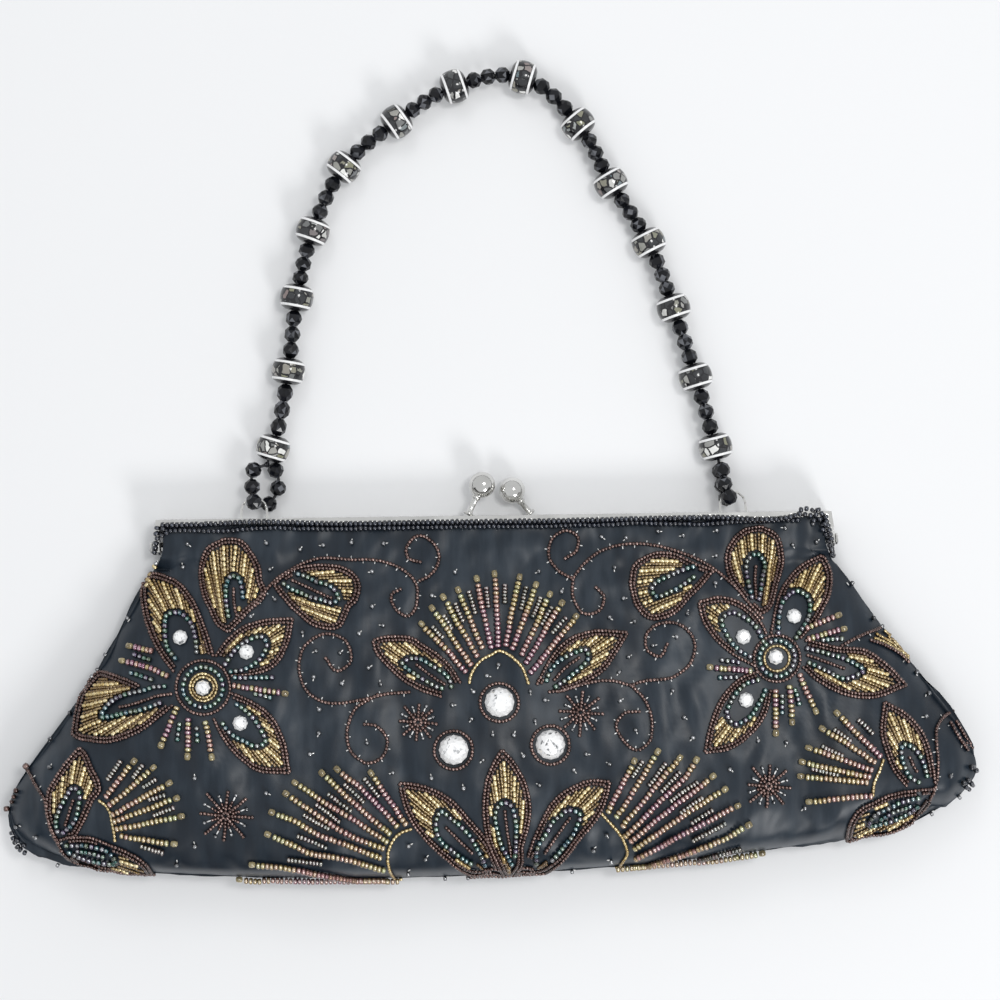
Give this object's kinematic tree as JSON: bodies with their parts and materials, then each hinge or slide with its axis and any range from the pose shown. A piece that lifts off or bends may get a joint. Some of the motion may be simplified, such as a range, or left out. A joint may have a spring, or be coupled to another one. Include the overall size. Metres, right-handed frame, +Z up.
{
  "type": "beaded evening bag",
  "caption": "Soft satin evening bag in a closed kiss-lock frame, lying on its back, with stones on its front and a handle of strung beads laid out above the frame.",
  "frame": {"origin": "on the surface the bag lies on, under the middle of the flat of its back panel", "axes": "+X along the metal frame to the right as seen from the front, +Y from the bag's bottom edge to the frame and handle, +Z up out of the front panel"},
  "size_m": [0.2763, 0.2346, 0.0272],
  "materials": {
    "satin": "black satin with a soft sheen",
    "nickel": "polished silver-coloured plating",
    "jet": "faceted black, glossy",
    "inlaid": "glossy black with white rings and shell chips",
    "crystal": "clear foil-backed rhinestone"
  },
  "bodies": {
    "root": {"front_panel": "satin", "back_panel": "satin", "frame_front": "nickel", "frame_back": "nickel", "hinge_rivet_left": "nickel", "hinge_rivet_right": "nickel", "clasp_knob_front": "nickel", "clasp_knob_back": "nickel", "black_bead_string": "jet", "inlaid_bead_01": "inlaid", "inlaid_bead_02": "inlaid", "inlaid_bead_03": "inlaid", "inlaid_bead_04": "inlaid", "inlaid_bead_05": "inlaid", "inlaid_bead_06": "inlaid", "inlaid_bead_07": "inlaid", "inlaid_bead_08": "inlaid", "inlaid_bead_09": "inlaid", "inlaid_bead_10": "inlaid", "inlaid_bead_11": "inlaid", "inlaid_bead_12": "inlaid", "inlaid_bead_13": "inlaid", "inlaid_bead_14": "inlaid", "stone_centre_top": "crystal", "stone_centre_left": "crystal", "stone_centre_right": "crystal", "stone_left_flower": "crystal", "stone_left_petal_outer": "crystal", "stone_left_petal_upper": "crystal", "stone_left_petal_lower": "crystal", "stone_right_flower": "crystal", "stone_right_petal_outer": "crystal", "stone_right_petal_upper": "crystal", "stone_right_petal_lower": "crystal"}
  },
  "joints": []
}
